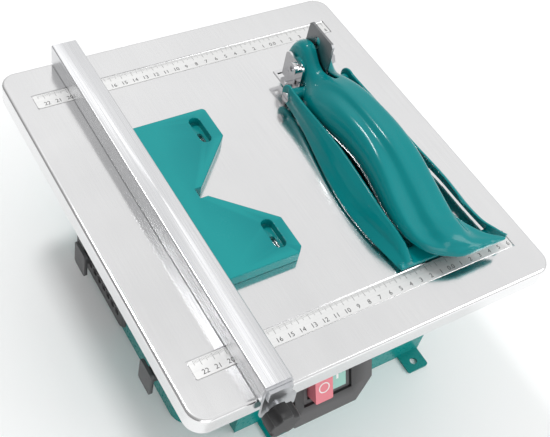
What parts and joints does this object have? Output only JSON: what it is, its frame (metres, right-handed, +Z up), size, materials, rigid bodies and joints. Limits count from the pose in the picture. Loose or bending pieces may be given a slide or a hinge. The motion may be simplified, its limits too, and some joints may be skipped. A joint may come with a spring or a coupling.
{
  "type": "wet tile cutter",
  "caption": "Table-top wet tile cutter: steel table with centimetre rules, sliding fence, V-notch mitre guide, tilting blade guard and side motor in a bench-mount housing.",
  "frame": {"origin": "bench plane, under the centre of the table", "axes": "+Z up, -Y to the user and the switch, +X to the side of the blade away from the fence"},
  "size_m": [0.33, 0.3848, 0.234],
  "materials": {
    "stainless": "polished stainless sheet",
    "rule_plate": "satin anodised rule with printed centimetres",
    "teal_plastic": "glossy moulded teal plastic",
    "teal_paint": "teal paint on the housing",
    "dark_plastic": "dark grey moulded plastic, fine grain",
    "red_plastic": "red moulded plastic",
    "green_plastic": "green moulded plastic",
    "chrome": "bright plated steel",
    "galvanised": "zinc plated sheet steel",
    "fence_steel": "satin steel tube",
    "knife_steel": "ground steel plate",
    "cast_aluminium": "cast aluminium casing",
    "iron_core": "lacquered iron core and winding",
    "blade_steel": "steel core with a diamond rim",
    "black_rubber": "soft black cable sleeve",
    "tray_plastic": "black moulded tray"
  },
  "bodies": {
    "base": {"table_top": "stainless", "front_rule": "rule_plate", "rear_rule": "rule_plate", "housing_floor": "teal_paint", "housing_front_wall": "teal_paint", "housing_front_corner": "teal_paint", "housing_left_wall": "teal_paint", "housing_rear_corner": "teal_paint", "housing_rear_wall": "teal_paint", "housing_right_wall": "teal_paint", "splash_wall": "teal_paint", "vent_grille": "dark_plastic", "cord_hooks": "dark_plastic", "switch_box": "dark_plastic", "switch_body": "dark_plastic", "cable_inlet": "black_rubber", "water_tray": "tray_plastic", "motor_casing": "cast_aluminium", "motor_stator": "iron_core", "shaft_bearings": "chrome", "motor_bracket": "galvanised", "motor_bolts": "galvanised", "riving_knife": "knife_steel", "knife_bracket": "galvanised", "knife_bolts": "galvanised"},
    "rotor": {"rotor_shaft": "galvanised", "cooling_fan": "dark_plastic", "inner_flange": "galvanised", "outer_flange": "galvanised", "arbor_nut": "galvanised", "diamond_blade": "blade_steel"},
    "guard_mount": {"guard_clamp_bolt": "chrome", "guard_clamp_nut": "galvanised"},
    "hood": {"guard_hood": "teal_plastic", "guard_clamp_bracket": "chrome", "guard_stop_screw": "chrome", "skirt_pivot_screws": "chrome"},
    "skirt": {"guard_skirt": "teal_plastic"},
    "fence": {"fence_tube": "fence_steel", "fence_front_bracket": "galvanised", "fence_rear_hook": "galvanised"},
    "knob": {"fence_knob": "dark_plastic", "fence_clamp_bolt": "galvanised"},
    "guide": {"mitre_guide": "teal_plastic"},
    "stop_key": {"stop_button": "red_plastic"},
    "start_key": {"start_button": "green_plastic"}
  },
  "joints": [
    {"name": "blade_spin", "type": "hinge", "parent": "base", "child": "rotor", "pos_m": [0.0825, -0.0285, 0.114], "axis": [1, 0, 0], "continuous": true},
    {"name": "guard_height", "type": "slide", "parent": "base", "child": "guard_mount", "axis": [0, 0, 1], "range_m": [0, 0.02]},
    {"name": "guard_tilt", "type": "hinge", "parent": "guard_mount", "child": "hood", "pos_m": [0.0825, 0.0745, 0.198], "axis": [-1, 0, 0], "range_deg": [0, 22]},
    {"name": "skirt_lift", "type": "hinge", "parent": "hood", "child": "skirt", "pos_m": [0.0825, 0.0585, 0.183], "axis": [-1, 0, 0], "range_deg": [0, 1.6]},
    {"name": "fence_slide", "type": "slide", "parent": "base", "child": "fence", "axis": [1, 0, 0], "range_m": [-0.035, 0.045]},
    {"name": "fence_knob_turn", "type": "hinge", "parent": "fence", "child": "knob", "pos_m": [-0.1049, -0.1935, 0.1605], "axis": [0, -1, 0], "range_deg": [-360, 360]},
    {"name": "guide_slide", "type": "slide", "parent": "fence", "child": "guide", "axis": [0, 1, 0], "range_m": [-0.045, 0.085]},
    {"name": "stop_press", "type": "slide", "parent": "base", "child": "stop_key", "axis": [0, 0.9187, -0.395], "range_m": [0, 0.003], "stiffness_N_per_m": 400},
    {"name": "start_press", "type": "slide", "parent": "base", "child": "start_key", "axis": [0, 0.9187, -0.395], "range_m": [0, 0.003], "stiffness_N_per_m": 400}
  ]
}
